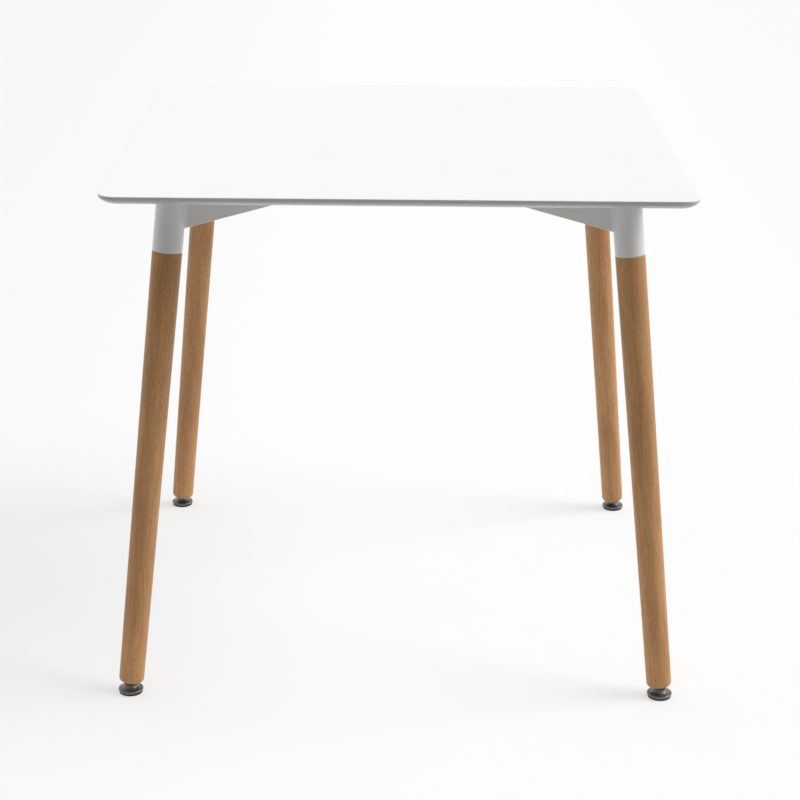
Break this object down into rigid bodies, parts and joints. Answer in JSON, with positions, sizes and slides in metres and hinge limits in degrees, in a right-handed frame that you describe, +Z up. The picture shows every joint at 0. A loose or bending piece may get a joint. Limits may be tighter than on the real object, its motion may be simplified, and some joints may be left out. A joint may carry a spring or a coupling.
{
  "type": "square dining table",
  "caption": "Square dining table: white board with an undercut edge on splayed round beech legs held in steel corner brackets, with swivel levelling feet.",
  "frame": {"origin": "middle of the table on the floor, midway between the four soles", "axes": "+Z up; +X to the right and +Y to the back as seen from the picture's side, so the near side faces -Y"},
  "size_m": [0.8052, 0.8, 0.748],
  "materials": {
    "board_lacquer": "satin white lacquer on fibreboard",
    "bracket_paint": "white powder coat",
    "leg_beech": "clear satin lacquer on beech",
    "plated_steel": "zinc plate",
    "foot_steel": "dark polished nickel plate",
    "foot_sole": "black moulded"
  },
  "bodies": {
    "table": {"tabletop": "board_lacquer", "bracket_plate_front_left": "bracket_paint", "wing_across_front_left": "bracket_paint", "wing_along_front_left": "bracket_paint", "leg_socket_front_left": "bracket_paint", "socket_end_disc_front_left": "bracket_paint", "weld_nut_front_left": "plated_steel", "hanger_bolt_front_left": "plated_steel", "bracket_screws_front_left": "plated_steel", "leg_front_left": "leg_beech", "foot_bush_front_left": "plated_steel", "bracket_plate_front_right": "bracket_paint", "wing_across_front_right": "bracket_paint", "wing_along_front_right": "bracket_paint", "leg_socket_front_right": "bracket_paint", "socket_end_disc_front_right": "bracket_paint", "weld_nut_front_right": "plated_steel", "hanger_bolt_front_right": "plated_steel", "bracket_screws_front_right": "plated_steel", "leg_front_right": "leg_beech", "foot_bush_front_right": "plated_steel", "bracket_plate_rear_left": "bracket_paint", "wing_across_rear_left": "bracket_paint", "wing_along_rear_left": "bracket_paint", "leg_socket_rear_left": "bracket_paint", "socket_end_disc_rear_left": "bracket_paint", "weld_nut_rear_left": "plated_steel", "hanger_bolt_rear_left": "plated_steel", "bracket_screws_rear_left": "plated_steel", "leg_rear_left": "leg_beech", "foot_bush_rear_left": "plated_steel", "bracket_plate_rear_right": "bracket_paint", "wing_across_rear_right": "bracket_paint", "wing_along_rear_right": "bracket_paint", "leg_socket_rear_right": "bracket_paint", "socket_end_disc_rear_right": "bracket_paint", "weld_nut_rear_right": "plated_steel", "hanger_bolt_rear_right": "plated_steel", "bracket_screws_rear_right": "plated_steel", "leg_rear_right": "leg_beech", "foot_bush_rear_right": "plated_steel"},
    "foot_screw_front_left": {"foot_spindle_front_left": "plated_steel"},
    "foot_carrier_front_left": {"foot_ball_front_left": "plated_steel"},
    "foot_pad_front_left": {"foot_base_front_left": "foot_steel", "foot_sole_front_left": "foot_sole"},
    "foot_screw_front_right": {"foot_spindle_front_right": "plated_steel"},
    "foot_carrier_front_right": {"foot_ball_front_right": "plated_steel"},
    "foot_pad_front_right": {"foot_base_front_right": "foot_steel", "foot_sole_front_right": "foot_sole"},
    "foot_screw_rear_left": {"foot_spindle_rear_left": "plated_steel"},
    "foot_carrier_rear_left": {"foot_ball_rear_left": "plated_steel"},
    "foot_pad_rear_left": {"foot_base_rear_left": "foot_steel", "foot_sole_rear_left": "foot_sole"},
    "foot_screw_rear_right": {"foot_spindle_rear_right": "plated_steel"},
    "foot_carrier_rear_right": {"foot_ball_rear_right": "plated_steel"},
    "foot_pad_rear_right": {"foot_base_rear_right": "foot_steel", "foot_sole_rear_right": "foot_sole"}
  },
  "joints": [
    {"name": "foot_travel_front_left", "type": "slide", "parent": "table", "child": "foot_carrier_front_left", "axis": [-0.1005, -0.1005, -0.9898], "range_m": [0, 0.012]},
    {"name": "foot_turn_front_left", "type": "hinge", "parent": "foot_carrier_front_left", "child": "foot_screw_front_left", "pos_m": [-0.38459, -0.35859, 0.0085], "axis": [-0.1005, -0.1005, -0.9898], "range_deg": [0, 3456.1]},
    {"name": "foot_swivel_front_left", "type": "hinge", "parent": "foot_carrier_front_left", "child": "foot_pad_front_left", "pos_m": [-0.38459, -0.35859, 0.0085], "axis": [-0.7071, 0.7071, 0], "range_deg": [-3.8, 20.1]},
    {"name": "foot_travel_front_right", "type": "slide", "parent": "table", "child": "foot_carrier_front_right", "axis": [0.1005, -0.1005, -0.9898], "range_m": [0, 0.012]},
    {"name": "foot_turn_front_right", "type": "hinge", "parent": "foot_carrier_front_right", "child": "foot_screw_front_right", "pos_m": [0.38459, -0.35859, 0.0085], "axis": [0.1005, -0.1005, -0.9898], "range_deg": [0, 3456.1]},
    {"name": "foot_swivel_front_right", "type": "hinge", "parent": "foot_carrier_front_right", "child": "foot_pad_front_right", "pos_m": [0.38459, -0.35859, 0.0085], "axis": [-0.7071, -0.7071, 0], "range_deg": [-3.8, 20.1]},
    {"name": "foot_travel_rear_left", "type": "slide", "parent": "table", "child": "foot_carrier_rear_left", "axis": [-0.1005, 0.1005, -0.9898], "range_m": [0, 0.012]},
    {"name": "foot_turn_rear_left", "type": "hinge", "parent": "foot_carrier_rear_left", "child": "foot_screw_rear_left", "pos_m": [-0.38459, 0.35859, 0.0085], "axis": [-0.1005, 0.1005, -0.9898], "range_deg": [0, 3456.1]},
    {"name": "foot_swivel_rear_left", "type": "hinge", "parent": "foot_carrier_rear_left", "child": "foot_pad_rear_left", "pos_m": [-0.38459, 0.35859, 0.0085], "axis": [0.7071, 0.7071, 0], "range_deg": [-3.8, 20.1]},
    {"name": "foot_travel_rear_right", "type": "slide", "parent": "table", "child": "foot_carrier_rear_right", "axis": [0.1005, 0.1005, -0.9898], "range_m": [0, 0.012]},
    {"name": "foot_turn_rear_right", "type": "hinge", "parent": "foot_carrier_rear_right", "child": "foot_screw_rear_right", "pos_m": [0.38459, 0.35859, 0.0085], "axis": [0.1005, 0.1005, -0.9898], "range_deg": [0, 3456.1]},
    {"name": "foot_swivel_rear_right", "type": "hinge", "parent": "foot_carrier_rear_right", "child": "foot_pad_rear_right", "pos_m": [0.38459, 0.35859, 0.0085], "axis": [0.7071, -0.7071, 0], "range_deg": [-3.8, 20.1]}
  ],
  "couplings": [
    {"joint": "foot_turn_front_left", "follows": "foot_travel_front_left", "rad_per_m": 5026.5},
    {"joint": "foot_turn_front_right", "follows": "foot_travel_front_right", "rad_per_m": 5026.5},
    {"joint": "foot_turn_rear_left", "follows": "foot_travel_rear_left", "rad_per_m": 5026.5},
    {"joint": "foot_turn_rear_right", "follows": "foot_travel_rear_right", "rad_per_m": 5026.5}
  ]
}
